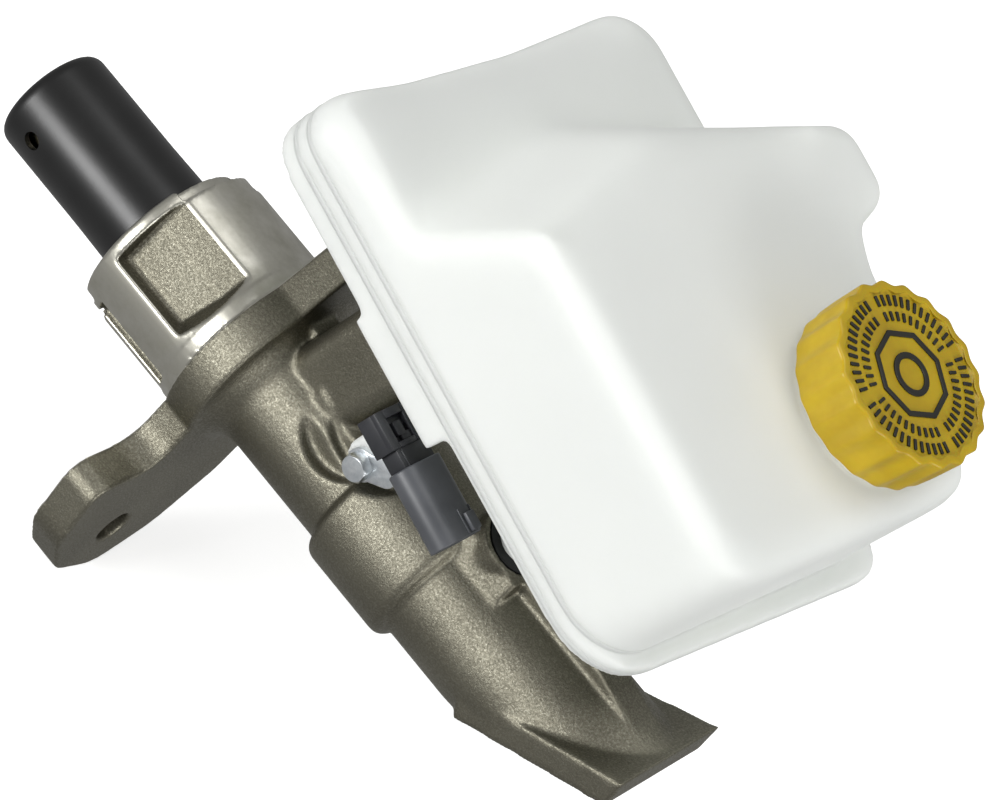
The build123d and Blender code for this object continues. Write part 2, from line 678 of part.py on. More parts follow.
def sensor_housing():
    start = -head_length / 2
    head = block(start, start + head_length, -head_width / 2, head_width / 2,
                 -head_height / 2, head_height / 2)
    head = fillet(head.edges().filter_by(Axis.X), 0.6)
    neck_end = start + head_length + neck_length
    neck = block(start + head_length - 1, neck_end + 1, -head_width / 2 + 1.2, head_width / 2 - 1.6,
                 -head_height / 2 + 0.5, head_height / 2 - 0.5)
    socket = stadium(socket_width, socket_height, neck_end, neck_end + socket_length)
    inside = stadium(socket_width - 2 * socket_wall, socket_height - 2 * socket_wall,
                     neck_end + 6.0, neck_end + socket_length + 1)
    lock = block(neck_end + 14.5, neck_end + socket_length, 1.6, 5.0,
                 socket_height / 2 - 0.8, socket_height / 2 + 1.1)
    stem = Pos(0, head_width / 2 - 1, 0) * Rot(-90, 0, 0) * Cylinder(
        stem_radius, stem_end - sensor_t - head_width / 2 + 1,
        align=(Align.CENTER, Align.CENTER, Align.MIN))
    reed_space = Pos(0, -3, 0) * Rot(-90, 0, 0) * Cylinder(
        1.3, stem_end - sensor_t + 1, align=(Align.CENTER, Align.CENTER, Align.MIN))
    window = block(start + 2.2, start + head_length - 1.2, -3.6, 1.6, head_height / 2 - 1.4, head_height)
    body = head + neck + (socket - inside) + lock + stem - reed_space - window
    body += block(start + 3.4, start + head_length - 2.4, -2.2, 0.2, head_height / 2 - 1.5,
                  head_height / 2 - 0.3)
    for side in (-2.6, 2.6):
        body -= block(neck_end + 2, neck_end + 7, side - 0.32, side + 0.32, -1.1, 1.1)
    return Pos(sensor_l, sensor_t, sensor_h) * body


def sensor_terminals():
    neck_end = head_length / 2 + neck_length
    pins = block(neck_end + 2, neck_end + 11, -2.92, -2.28, -1.1, 1.1)
    pins += block(neck_end + 2, neck_end + 11, 2.28, 2.92, -1.1, 1.1)
    return Pos(sensor_l, sensor_t, sensor_h) * pins


def reed_switch():
    return Pos(sensor_l, sensor_t - 2.5, sensor_h) * Rot(-90, 0, 0) * Cylinder(
        1.3, stem_end - sensor_t - 0.5, align=(Align.CENTER, Align.CENTER, Align.MIN))


# Reservoir bolt, in the body's frame

def clamp_plate():
    """A zinc-plated oblong plate under the bolt head."""
    reach = 6.8
    plate = cross_rod(4.2, 0, 0, plate_near, plate_near + plate_thickness)
    plate += cross_rod(3.6, reach, 0, plate_near, plate_near + plate_thickness)
    plate += block(0, reach, plate_near, plate_near + plate_thickness, -3.6, 3.6)
    plate -= cross_rod(bolt_shank_radius + 0.1, 0, 0, plate_near - 1, plate_near + 3)
    return Pos(bolt_x, 0, bolt_z) * Rot(0, -34, 0) * plate


def retaining_bolt():
    hexagon = Plane(origin=(bolt_x, plate_near, bolt_z), z_dir=(0, -1, 0)) * RegularPolygon(
        bolt_hex / 2, 6, major_radius=False)
    head = extrude(hexagon, bolt_head_height)
    crown = cross_rod(bolt_hex / 2 * 1.12, bolt_x, bolt_z, plate_near - bolt_head_height, plate_near)
    crown = chamfer(crown.edges().filter_by(GeomType.CIRCLE).sort_by(Axis.Y)[0], 0.45)
    head = head & crown
    return head + cross_rod(bolt_shank_radius, bolt_x, bolt_z, plate_near, -4.6)


# Every piece, by node name

pieces = {
    "cylinder_body": cylinder_body(),
    "snout_o_ring": snout_o_ring(),
    "guide_bush": guide_bush(),
    "guide_o_ring": guide_o_ring(),
    "guide_circlip": circlip(),
    "primary_rear_seal": primary_rear_seal(),
    "primary_piston": primary_piston(),
    "primary_cup": cup(primary_cup_x, cup_width, cup_root, True),
    "primary_spring_seat": spring_seat(head_front - spring_pocket_depth, True),
    "primary_spring": coil(6.0, spring_wire, head_front - spring_pocket_depth + 0.85,
                           secondary_rear - 0.05, 7),
    "secondary_piston": secondary_piston(),
    "separating_cup": cup(separating_cup_x, cup_width, cup_root, False),
    "secondary_cup": cup(secondary_cup_x, cup_width, cup_root, True),
    "secondary_spring_seat": spring_seat(secondary_front - 5.0, True),
    "secondary_spring": coil(6.0, spring_wire, secondary_front - 5.0 + 0.85, bore_end - 0.05, 7),
    "tube_seats": tube_seats(),
    "guard_tube": guard_tube(),
    "reservoir_upper_shell": level * upper_shell(),
    "reservoir_lower_shell": level * lower_shell(),
    "rear_port_grommet": level * grommet(port_lengthwise[0], port_boss_top[0]),
    "front_port_grommet": level * grommet(port_lengthwise[1], port_boss_top[1]),
    "filter_basket": level * filter_basket(),
    "cap_diaphragm": level * cap_diaphragm(),
    "filler_cap": level * filler_cap(),
    "cap_marking": level * cap_marking(),
    "level_float": level * float_body(),
    "float_magnet": level * float_magnet(),
    "sensor_housing": level * sensor_housing(),
    "sensor_terminals": level * sensor_terminals(),
    "reed_switch": level * reed_switch(),
    "clamp_plate": clamp_plate(),
    "retaining_bolt": retaining_bolt(),
}

os.makedirs("parts", exist_ok=True)
for name, piece in pieces.items():
    export_step(piece, f"parts/{name}.step")
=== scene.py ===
import math
import bpy
import bmesh
import numpy as np
from mathutils import Matrix, Vector


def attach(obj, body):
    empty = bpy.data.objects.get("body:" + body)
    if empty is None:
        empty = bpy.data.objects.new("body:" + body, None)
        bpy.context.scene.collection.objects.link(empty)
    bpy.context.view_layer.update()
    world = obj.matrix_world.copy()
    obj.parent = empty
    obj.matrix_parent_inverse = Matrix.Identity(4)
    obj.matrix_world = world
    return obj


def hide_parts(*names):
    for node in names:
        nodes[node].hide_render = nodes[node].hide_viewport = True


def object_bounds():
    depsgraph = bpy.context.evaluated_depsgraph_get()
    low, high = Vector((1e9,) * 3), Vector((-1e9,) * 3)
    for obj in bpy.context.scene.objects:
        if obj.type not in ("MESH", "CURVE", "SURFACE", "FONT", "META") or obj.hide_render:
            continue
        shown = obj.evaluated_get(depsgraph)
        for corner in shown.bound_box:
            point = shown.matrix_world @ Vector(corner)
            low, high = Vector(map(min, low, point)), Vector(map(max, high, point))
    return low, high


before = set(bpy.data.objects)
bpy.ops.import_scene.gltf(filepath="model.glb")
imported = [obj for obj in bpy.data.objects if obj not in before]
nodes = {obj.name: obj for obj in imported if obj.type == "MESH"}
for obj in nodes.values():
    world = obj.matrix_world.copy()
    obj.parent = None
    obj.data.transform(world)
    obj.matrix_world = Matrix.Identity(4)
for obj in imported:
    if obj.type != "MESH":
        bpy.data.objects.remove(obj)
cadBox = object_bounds()
scene = bpy.context.scene
mm = 0.001
print("frame loaded:", len(nodes), "nodes")

# the reservoir stands level while the bore points nose-up, so it has axes of its own
levelTilt = math.radians(14.5)
toLevel = Matrix.Rotation(-levelTilt, 4, "Y")
fromLevel = toLevel.inverted()

# where the camera stands, in metres, its three axes and its lens in mm
cameraSet = {
    "place": (0.2856, -0.7926, 0.7184),
    "right": (0.6260, 0.6025, 0.4944),
    "up": (-0.7485, 0.2886, 0.5961),
    "back": (0.2164, -0.7440, 0.6317),
    "lens": 171.6,
}


def makeCamera(view):
    cameraData = bpy.data.cameras.new("studioCamera")
    cameraData.lens = view["lens"]
    cameraData.sensor_width = 36
    cameraData.clip_start = 0.05
    cameraData.clip_end = 20
    camera = bpy.data.objects.new("studioCamera", cameraData)
    scene.collection.objects.link(camera)
    turn = Matrix((view["right"], view["up"], view["back"])).transposed()
    camera.matrix_world = Matrix.Translation(view["place"]) @ turn.to_4x4()
    scene.camera = camera


makeCamera(cameraSet)
print("camera made")


def hexColor(code):
    # sRGB hex to the linear values that the shaders use
    parts = [int(code[i:i + 2], 16) / 255 for i in (0, 2, 4)]
    return tuple(c / 12.92 if c <= 0.04045 else ((c + 0.055) / 1.055) ** 2.4 for c in parts) + (1.0,)


def noiseScale(size):
    # the noise scale that gives blotches about size mm across
    return 0.5 / (size * mm)


def addNode(tree, kind, values=None, links=None, stops=None, **settings):
    # one node: its socket values, what feeds it, its colour stops (hex, or a plain grey) and its settings
    node = tree.nodes.new(kind)
    for name, value in settings.items():
        setattr(node, name, value)
    for socket, value in (values or {}).items():
        node.inputs[socket].default_value = value
    for socket, source in (links or {}).items():
        tree.links.new(source, node.inputs[socket])
    for number, (place, color) in enumerate(stops or ()):
        elements = node.color_ramp.elements
        element = elements[number] if number < 2 else elements.new(place)
        element.position = place
        element.color = hexColor(color) if isinstance(color, str) else (color, color, color, 1.0)
    return node


def newMaterial(name, **shaderValues):
    # a material with one Principled shader, and the object coordinates that its patterns use
    material = bpy.data.materials.new(name)
    material.use_nodes = True
    tree = material.node_tree
    shader = tree.nodes["Principled BSDF"]
    for socket, value in shaderValues.items():
        shader.inputs[socket.replace("_", " ")].default_value = value
    where = addNode(tree, "ShaderNodeTexCoord").outputs["Object"]
    return material, tree, shader, where


def castAluminium():
    # sand-cast aluminium, shot-blasted: warm grey that falls dark away from the light, and a fine
    # sparkle of bright grains where it faces the light
    material, tree, shader, where = newMaterial("castAluminiumShotBlasted", Metallic=1.0)
    grit = addNode(tree, "ShaderNodeTexNoise",      # real grit is 0.2 mm; drawn a little coarser
                   {"Scale": noiseScale(0.28), "Detail": 5.0, "Roughness": 0.75}, {"Vector": where})
    pits = addNode(tree, "ShaderNodeTexNoise",
                   {"Scale": noiseScale(0.9), "Detail": 3.0, "Roughness": 0.6}, {"Vector": where})
    patches = addNode(tree, "ShaderNodeTexNoise",
                      {"Scale": noiseScale(11.0), "Detail": 3.0, "Roughness": 0.5}, {"Vector": where})
    tone = addNode(tree, "ShaderNodeValToRGB", links={"Fac": grit.outputs["Fac"]},
                   stops=[(0.30, "58544a"), (0.72, "a9a798"), (0.50, "737063")])
    broad = addNode(tree, "ShaderNodeValToRGB", links={"Fac": patches.outputs["Fac"]},
                    stops=[(0.3, "6a675b"), (0.7, "8a8779")])
    # sockets 6 and 7 are the two colours, and output 2 is the blended colour
    blend = addNode(tree, "ShaderNodeMix", {0: 0.4},
                    {6: tone.outputs["Color"], 7: broad.outputs["Color"]}, data_type="RGBA")
    tree.links.new(blend.outputs[2], shader.inputs["Base Color"])
    dull = addNode(tree, "ShaderNodeValToRGB", links={"Fac": grit.outputs["Fac"]},
                   stops=[(0.35, 0.55), (0.72, 0.28)])
    tree.links.new(dull.outputs["Color"], shader.inputs["Roughness"])
    pitted = addNode(tree, "ShaderNodeBump", {"Strength": 0.7, "Distance": 0.12 * mm},
                     {"Height": pits.outputs["Fac"]})
    gritty = addNode(tree, "ShaderNodeBump", {"Strength": 0.9, "Distance": 0.14 * mm},
                     {"Height": grit.outputs["Fac"], "Normal": pitted.outputs["Normal"]})
    tree.links.new(gritty.outputs["Normal"], shader.inputs["Normal"])
    return material


def turnedAluminium():
    # the same casting turned in a lathe: smooth pale grey metal, cloudy from handling, with faint rings
    material, tree, shader, where = newMaterial("turnedAluminium", Metallic=1.0)
    split = addNode(tree, "ShaderNodeSeparateXYZ", links={"Vector": where})
    along = addNode(tree, "ShaderNodeCombineXYZ", links={"X": split.outputs["X"]})
    rings = addNode(tree, "ShaderNodeTexNoise", {"Scale": noiseScale(0.2), "Detail": 2.0},
                    {"Vector": along.outputs["Vector"]})
    cloud = addNode(tree, "ShaderNodeTexNoise",
                    {"Scale": noiseScale(3.0), "Detail": 5.0, "Roughness": 0.65}, {"Vector": where})
    tone = addNode(tree, "ShaderNodeValToRGB", links={"Fac": cloud.outputs["Fac"]},
                   stops=[(0.3, "b5b3a7"), (0.7, "cdcbc1")])
    dull = addNode(tree, "ShaderNodeValToRGB", links={"Fac": cloud.outputs["Fac"]},
                   stops=[(0.3, 0.42), (0.7, 0.30)])
    tree.links.new(tone.outputs["Color"], shader.inputs["Base Color"])
    tree.links.new(dull.outputs["Color"], shader.inputs["Roughness"])
    ringed = addNode(tree, "ShaderNodeBump", {"Strength": 0.5, "Distance": 0.006 * mm},
                     {"Height": rings.outputs["Fac"]})
    tree.links.new(ringed.outputs["Normal"], shader.inputs["Normal"])
    return material


def naturalPolypropylene():
    # unpigmented polypropylene, moulded in halves and welded: milky, light shines a little way into it;
    # the weak glow stands for the light that its hollow inside passes back through the wall
    material, tree, shader, where = newMaterial(
        "naturalPolypropylene", Roughness=0.50, IOR=1.49, Subsurface_Weight=0.8, Subsurface_Scale=0.009,
        Subsurface_Radius=(1.0, 1.0, 0.96),
        Emission_Color=(0.97, 1.0, 0.96, 1.0), Emission_Strength=0.08)
    cloud = addNode(tree, "ShaderNodeTexNoise", {"Scale": noiseScale(30.0), "Detail": 2.0}, {"Vector": where})
    tone = addNode(tree, "ShaderNodeValToRGB", links={"Fac": cloud.outputs["Fac"]},
                   stops=[(0.3, "dcdfdb"), (0.7, "e3e6e1")])
    tree.links.new(tone.outputs["Color"], shader.inputs["Base Color"])
    dimple = addNode(tree, "ShaderNodeTexNoise", {"Scale": noiseScale(1.2), "Detail": 2.0}, {"Vector": where})
    uneven = addNode(tree, "ShaderNodeBump", {"Strength": 0.5, "Distance": 0.012 * mm},
                     {"Height": dimple.outputs["Fac"]})
    tree.links.new(uneven.outputs["Normal"], shader.inputs["Normal"])
    return material


def mouldedPlastic(name, low, high, roughness, grain=0.25, depth=0.01, **more):
    # injection-moulded plastic: an even colour that drifts slightly, with a faint mould texture
    material, tree, shader, where = newMaterial(name, Roughness=roughness, IOR=1.5, **more)
    cloud = addNode(tree, "ShaderNodeTexNoise", {"Scale": noiseScale(6.0), "Detail": 3.0, "Roughness": 0.6},
                    {"Vector": where})
    tone = addNode(tree, "ShaderNodeValToRGB", links={"Fac": cloud.outputs["Fac"]},
                   stops=[(0.35, low), (0.65, high)])
    tree.links.new(tone.outputs["Color"], shader.inputs["Base Color"])
    texture = addNode(tree, "ShaderNodeTexNoise", {"Scale": noiseScale(grain), "Detail": 2.0},
                      {"Vector": where})
    raised = addNode(tree, "ShaderNodeBump", {"Strength": 0.6, "Distance": depth * mm},
                     {"Height": texture.outputs["Fac"]})
    tree.links.new(raised.outputs["Normal"], shader.inputs["Normal"])
    return material


def metalPart(name, low, high, roughness, bloomSize=0.6, depth=0.004):
    # drawn, plated or anodised metal: a cloudy sheen over the base colour
    material, tree, shader, where = newMaterial(name, Metallic=1.0, Roughness=roughness)
    bloom = addNode(tree, "ShaderNodeTexNoise",
                    {"Scale": noiseScale(bloomSize), "Detail": 3.0, "Roughness": 0.6}, {"Vector": where})
    tone = addNode(tree, "ShaderNodeValToRGB", links={"Fac": bloom.outputs["Fac"]},
                   stops=[(0.3, low), (0.7, high)])
    tree.links.new(tone.outputs["Color"], shader.inputs["Base Color"])
    uneven = addNode(tree, "ShaderNodeBump", {"Strength": 0.5, "Distance": depth * mm},
                     {"Height": bloom.outputs["Fac"]})
    tree.links.new(uneven.outputs["Normal"], shader.inputs["Normal"])
    return material


finishes = {
    "castBody": castAluminium(),
    "turned": turnedAluminium(),
    "reservoir": naturalPolypropylene(),
    # deep yellow with a soft glow at its thin edges
    "capYellow": mouldedPlastic("yellowPolypropyleneMoulded", "ad9006", "bea10c", 0.42, 0.3, 0.02,
                                Subsurface_Weight=0.15, Subsurface_Scale=0.002),
    # flat black lines that take no highlight
    "capBlack": mouldedPlastic("blackHotStamping", "17160f", "201f17", 0.5),
    # near black, with a long soft grey sheen down the tube
    "guard": mouldedPlastic("blackPolyethyleneMoulded", "0b0b0b", "121212", 0.36, 0.8, 0.02),
    # near black with crisp bright edges
    "sensor": mouldedPlastic("blackNylonMoulded", "232427", "2e2f33", 0.4),
    # dark grey, a step lighter than the sensor's head
    "socket": mouldedPlastic("greyNylonMoulded", "45474b", "515357", 0.42),
    # dull black that swallows the light
    "rubber": mouldedPlastic("nitrileRubberMoulded", "0f0f0f", "191919", 0.65, 0.4, 0.03),
    # clean white, slightly waxy
    "basket": mouldedPlastic("whitePolyethyleneMoulded", "e6e6df", "efefe9", 0.45),
    # dark brown-grey and grainy, with no shine
    "foam": mouldedPlastic("closedCellFoamMoulded", "2b2926", "3a3733", 0.8, 0.5, 0.08),
    # blue-black and stony
    "ferrite": mouldedPlastic("ferriteSintered", "1e1e20", "2a2a2c", 0.6),
    # pale bluish metal with a fine crystal sparkle
    "zinc": metalPart("zincPlatedSteelPassivated", "d3d9dd", "f0f4f6", 0.34, 0.8, 0.02),
    # mid grey wire with a clear highlight
    "steel": metalPart("springSteelDrawn", "8b8b88", "b4b4b0", 0.3, 0.4),
    # warm silver
    "tin": metalPart("tinnedBrassStamped", "b9b2a0", "d8d2c2", 0.32),
    # pale cream with a satin face
    "anodised": metalPart("creamAluminiumAnodised", "cfc4a2", "e3dabb", 0.42),
}
print("materials made:", len(finishes))

nodeFinish = {
    "cylinder_body": "castBody",
    "snout_o_ring": "rubber",
    "guide_bush": "anodised",
    "guide_o_ring": "rubber",
    "guide_circlip": "steel",
    "primary_rear_seal": "rubber",
    "primary_piston": "anodised",
    "primary_cup": "rubber",
    "primary_spring_seat": "steel",
    "primary_spring": "steel",
    "secondary_piston": "anodised",
    "separating_cup": "rubber",
    "secondary_cup": "rubber",
    "secondary_spring_seat": "steel",
    "secondary_spring": "steel",
    "tube_seats": "steel",
    "guard_tube": "guard",
    "reservoir_upper_shell": "reservoir",
    "reservoir_lower_shell": "reservoir",
    "rear_port_grommet": "rubber",
    "front_port_grommet": "rubber",
    "filter_basket": "basket",
    "cap_diaphragm": "rubber",
    "filler_cap": "capYellow",
    "cap_marking": "capBlack",
    "level_float": "foam",
    "float_magnet": "ferrite",
    "sensor_housing": "sensor",
    "sensor_terminals": "tin",
    "reed_switch": "basket",
    "clamp_plate": "zinc",
    "retaining_bolt": "zinc",
}
for name, finish in nodeFinish.items():      # the CAD nodes that stay keep their shape
    mesh = nodes[name].data
    mesh.materials.clear()
    mesh.materials.append(finishes[finish])
print("finishes assigned")


def newPiece(name, mesh):
    piece = bpy.data.objects.new(name, mesh)
    scene.collection.objects.link(piece)
    return piece


def copyNodes(names, newName):
    # one mesh from the shapes of several nodes
    shape = bmesh.new()
    for name in names:
        shape.from_mesh(nodes[name].data)
    mesh = bpy.data.meshes.new(newName)
    bmesh.ops.remove_doubles(shape, verts=shape.verts, dist=0.00001)
    shape.to_mesh(mesh)
    shape.free()
    return newPiece(newName, mesh)


def applyModifiers(piece):
    # the evaluated mesh becomes the piece's own
    graph = bpy.context.evaluated_depsgraph_get()
    mesh = bpy.data.meshes.new_from_object(piece.evaluated_get(graph))
    old = piece.data
    piece.modifiers.clear()
    piece.data = mesh
    bpy.data.meshes.remove(old)


def remesh(piece, voxel):
    modifier = piece.modifiers.new("remesh", "REMESH")
    modifier.mode = "VOXEL"
    modifier.voxel_size = voxel * mm
    applyModifiers(piece)


def readPoints(mesh):
    points = np.empty(len(mesh.vertices) * 3)
    mesh.vertices.foreach_get("co", points)
    return points.reshape(-1, 3)


def writePoints(mesh, points):
    mesh.vertices.foreach_set("co", np.ascontiguousarray(points).ravel())
    mesh.update()


def relax(mesh, weight, rounds, factor=0.5):
    # moves each vertex towards the mean of its neighbours, as much as its weight says
    edges = np.empty(len(mesh.edges) * 2, dtype=np.int64)
    mesh.edges.foreach_get("vertices", edges)
    edges = edges.reshape(-1, 2)
    points = readPoints(mesh)
    count = np.bincount(edges.ravel(), minlength=len(points))[:, None]
    for _ in range(rounds):
        total = np.zeros_like(points)
        for axis in range(3):
            total[:, axis] = np.bincount(edges[:, 0], points[edges[:, 1], axis], len(points))
            total[:, axis] += np.bincount(edges[:, 1], points[edges[:, 0], axis], len(points))
        mean = total / np.maximum(count, 1)
        points += (mean - points) * (weight * factor)[:, None]
    writePoints(mesh, points)


def smoothStep(values, low, high):
    t = np.clip((values - low) / (high - low), 0, 1)
    return t * t * (3 - 2 * t)


def shadeSmooth(piece, angle=None):
    mesh = piece.data
    mesh.polygons.foreach_set("use_smooth", [True] * len(mesh.polygons))
    if angle is not None:
        mesh.set_sharp_from_angle(angle=math.radians(angle))


def finishPiece(piece, body, finish, replaced=()):
    if not piece.data.materials:
        piece.data.materials.append(finishes[finish])
    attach(piece, body)
    if replaced:
        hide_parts(*replaced)


# lengths are in mm
castBodySet = {
    "voxel": 0.55,           # the finest detail kept
    "rounding": 7,           # rounds of softening on the cast skin
    "softFrom": (0.6, 2.5),  # the softening sets in between these two x, ahead of the machined end
    "turnedFront": 0.3,      # behind this x the outside of the snout is turned
    "turnedRadius": 23.2,    # nearer the axis than this, the snout's pockets are as cast
    "lipFront": -31.2,       # behind this x the end face is turned too
    "lipRadius": 19.5,
    "mouthRadius": 16.2,     # the mouth of the bore is bored out
    "roughStrips": (125.5, 151.5),   # degrees from +Z towards -Y, and again on the far side
    "roughStripFront": -26.6,
    "sharpAngle": 50,        # degrees
}


def makeCastBody(setup):
    piece = copyNodes(["cylinder_body"], "castBody")
    remesh(piece, setup["voxel"])
    mesh = piece.data
    points = readPoints(mesh)
    softStart, softFull = setup["softFrom"]
    weight = smoothStep(points[:, 0], softStart * mm, softFull * mm)
    relax(mesh, weight, setup["rounding"])
    relax(mesh, 1 - weight, 1)
    mesh.materials.clear()
    mesh.materials.append(finishes["castBody"])
    mesh.materials.append(finishes["turned"])
    centres = np.empty(len(mesh.polygons) * 3)
    mesh.polygons.foreach_get("center", centres)
    x, y, z = centres.reshape(-1, 3).T / mm
    radius = np.hypot(y, z)
    angle = np.degrees(np.arctan2(-y, z)) % 180
    low, high = setup["roughStrips"]
    rough = (angle > low) & (angle < high) & (x < setup["roughStripFront"])
    turned = (x < setup["turnedFront"]) & (radius > setup["turnedRadius"]) & ~rough
    turned |= (x < setup["lipFront"]) & (radius > setup["lipRadius"]) & ~rough
    turned |= (radius < setup["mouthRadius"]) & (x < 0)
    mesh.polygons.foreach_set("material_index", turned.astype(np.int32))
    shadeSmooth(piece, setup["sharpAngle"])
    finishPiece(piece, "cylinder", "castBody", ["cylinder_body"])
    return piece


castBody = makeCastBody(castBodySet)
print("cast body made:", len(castBody.data.polygons), "faces")


# lengths are in mm in the level frame: l forward, t across and h up
reservoirSet = {
    "voxel": 1.0,
    "rounding": 5,           # rounds of softening all over
    "bodyRounding": 60,      # more rounds above the weld, where the moulding is softer
    "valleyRounding": 170,   # and more again in the sweep between the low and the high part
    "neck": (82.5, 46.8),    # l and t of the filler neck, which stays crisp
}


def makeReservoir(setup):
    piece = copyNodes(["reservoir_upper_shell", "reservoir_lower_shell"], "reservoirMoulding")
    piece.data.transform(toLevel)
    remesh(piece, setup["voxel"])
    mesh = piece.data
    points = readPoints(mesh) / mm
    relax(mesh, np.ones(len(points)), setup["rounding"])
    l, t, h = points.T
    neckL, neckT = setup["neck"]
    neck = np.hypot(l - neckL, t - neckT)
    near = smoothStep(-t, -84, -70)                 # the far edge keeps its corners
    clearOfNeck = np.maximum(smoothStep(neck, 22, 27), smoothStep(-h, -110, -106))
    body = near * smoothStep(h, 70, 76) * clearOfNeck
    relax(mesh, body, setup["bodyRounding"])
    valley = near * smoothStep(h, 77, 79) * smoothStep(-l, -38, -20)
    valley *= smoothStep(l, -34, -28) * smoothStep(t, -19, -12)
    relax(mesh, valley, setup["valleyRounding"])
    mesh.transform(fromLevel)
    mesh.materials.clear()
    shadeSmooth(piece)
    finishPiece(piece, "cylinder", "reservoir", ["reservoir_upper_shell", "reservoir_lower_shell"])
    return piece


reservoir = makeReservoir(reservoirSet)
print("reservoir made:", len(reservoir.data.polygons), "faces")


def fromShape(name, shape):
    # a new piece from a finished bmesh
    mesh = bpy.data.meshes.new(name)
    bmesh.ops.recalc_face_normals(shape, faces=shape.faces)
    shape.to_mesh(mesh)
    shape.free()
    return newPiece(name, mesh)


def revolve(name, profile, segments, waviness=None):
    # turns a closed (radius, height) profile round Z; waviness shifts the radius by angle and height
    shape = bmesh.new()
    rings = []
    for step in range(segments):
        angle = 2 * math.pi * step / segments
        ring = []
        for radius, height in profile:
            shift = waviness(angle, radius, height) if waviness else 0
            reach = (radius + shift) * mm
            ring.append(shape.verts.new((reach * math.cos(angle), reach * math.sin(angle), height * mm)))
        rings.append(ring)
    count = len(profile)
    for step in range(segments):
        near, far = rings[step], rings[(step + 1) % segments]
        for i in range(count - 1):
            shape.faces.new((near[i], far[i], far[i + 1], near[i + 1]))
    bmesh.ops.remove_doubles(shape, verts=shape.verts, dist=0.000002)
    return fromShape(name, shape)


def softCorners(points, radius, steps):
    # rounds the corners of a profile
    rounded = []
    for i, (a, b, c) in enumerate(zip(points, points[1:], points[2:])):
        a, b, c = Vector(a), Vector(b), Vector(c)
        reach = min(radius, (a - b).length * 0.45, (c - b).length * 0.45)
        start, end = b + (a - b).normalized() * reach, b + (c - b).normalized() * reach
        for k in range(steps + 1):
            u = k / steps
            rounded.append(tuple(start * (1 - u) ** 2 + b * 2 * u * (1 - u) + end * u ** 2))
    return [points[0]] + rounded + [points[-1]]


def cutAway(piece, cutter):
    # takes the cutter's shape out of the piece, and the cutter with it
    modifier = piece.modifiers.new("cut", "BOOLEAN")
    modifier.operation = "DIFFERENCE"
    modifier.solver = "EXACT"
    modifier.object = cutter
    applyModifiers(piece)
    bpy.data.objects.remove(cutter)


def bevelEdges(piece, width, segments, angle=32):
    # softens the edges that are sharper than the angle; the width is in mm
    modifier = piece.modifiers.new("edges", "BEVEL")
    modifier.width = width * mm
    modifier.segments = segments
    modifier.limit_method = "ANGLE"
    modifier.angle_limit = math.radians(angle)
    applyModifiers(piece)


def blockInto(shape, low, high, slot=0, taper=0.0):
    # adds a box between two corners, in mm; taper narrows its top
    corners = bmesh.ops.create_cube(shape, size=1.0)["verts"]
    middle = [(a + b) / 2 for a, b in zip(low, high)]
    size = [b - a for a, b in zip(low, high)]
    for vert in corners:
        narrow = 1 - taper if vert.co.z > 0 else 1
        spread = (narrow, narrow, 1)
        vert.co = Vector([(middle[i] + vert.co[i] * size[i] * spread[i]) * mm for i in range(3)])
    for face in {f for v in corners for f in v.link_faces}:
        face.material_index = slot
    return corners


# lengths are in mm
guardSet = {
    "end": -79.0,            # x of the closed end
    "open": -25.7,           # x of the open end
    "radius": 14.7,
    "rootRadius": 15.15,     # at the open end, after a slow flare
    "straight": 30.0,        # from the closed end to where the flare starts
    "wall": 1.5,
    "endRounding": 3.2,
    "windowRadius": 2.3,
    "windowFromEnd": 10.0,
    "windowTurn": 92.0,      # degrees from +Z towards -Y
}


def makeGuard(setup):
    end, radius, wall = setup["end"], setup["radius"], setup["wall"]
    root = setup["rootRadius"]
    flare = end + setup["straight"]
    outer = [(0.0, end), (radius, end), (radius, flare), (root, setup["open"])]
    inside = radius - wall
    inner = [(root - wall, setup["open"]), (inside, flare), (inside, end + wall), (0.0, end + wall)]
    profile = softCorners(outer, setup["endRounding"], 8) + softCorners(inner, 1.5, 4)
    piece = revolve("guardTube", profile, 128)
    piece.data.transform(Matrix.Rotation(math.radians(90), 4, "Y"))
    hole = setup["windowRadius"]
    window = revolve("windowCutter", [(0.0, 5), (hole, 5), (hole, 25), (0.0, 25)], 48)
    shift = Matrix.Translation(((end + setup["windowFromEnd"]) * mm, 0, 0))
    window.data.transform(Matrix.Rotation(math.radians(setup["windowTurn"]), 4, "X") @ shift)
    cutAway(piece, window)
    shadeSmooth(piece, 40)
    finishPiece(piece, "guard", "guard", ["guard_tube"])


makeGuard(guardSet)
print("guard tube made")


# lengths are in mm in the level frame
capSet = {
    "centre": (82.5, 46.8),
    "bottom": 114.5,
    "height": 15.3,
    "radius": 23.0,
    "bore": 19.6,
    "topWall": 2.5,
    "lobes": 20,             # shallow scallops round the rim
    "scallop": 0.95,         # how deep they are
    "edgeRounding": 2.0,
    "recess": 0.7,           # of the round face
    "faceRadius": 20.6,
    "markHeight": 0.5,
    "octagon": (11.3, 9.9),  # outer and inner radius
    "ring": (5.4, 3.9),
    # plain bars round the face: radius, length, width, places, and every how many places is left free
    "bars": ((14.2, 2.3, 0.8, 44, 11), (18.1, 2.7, 0.85, 56, 14)),
}


def placeCap(piece, setup):
    l, t = setup["centre"]
    piece.data.transform(fromLevel @ Matrix.Translation((l * mm, t * mm, 0)))


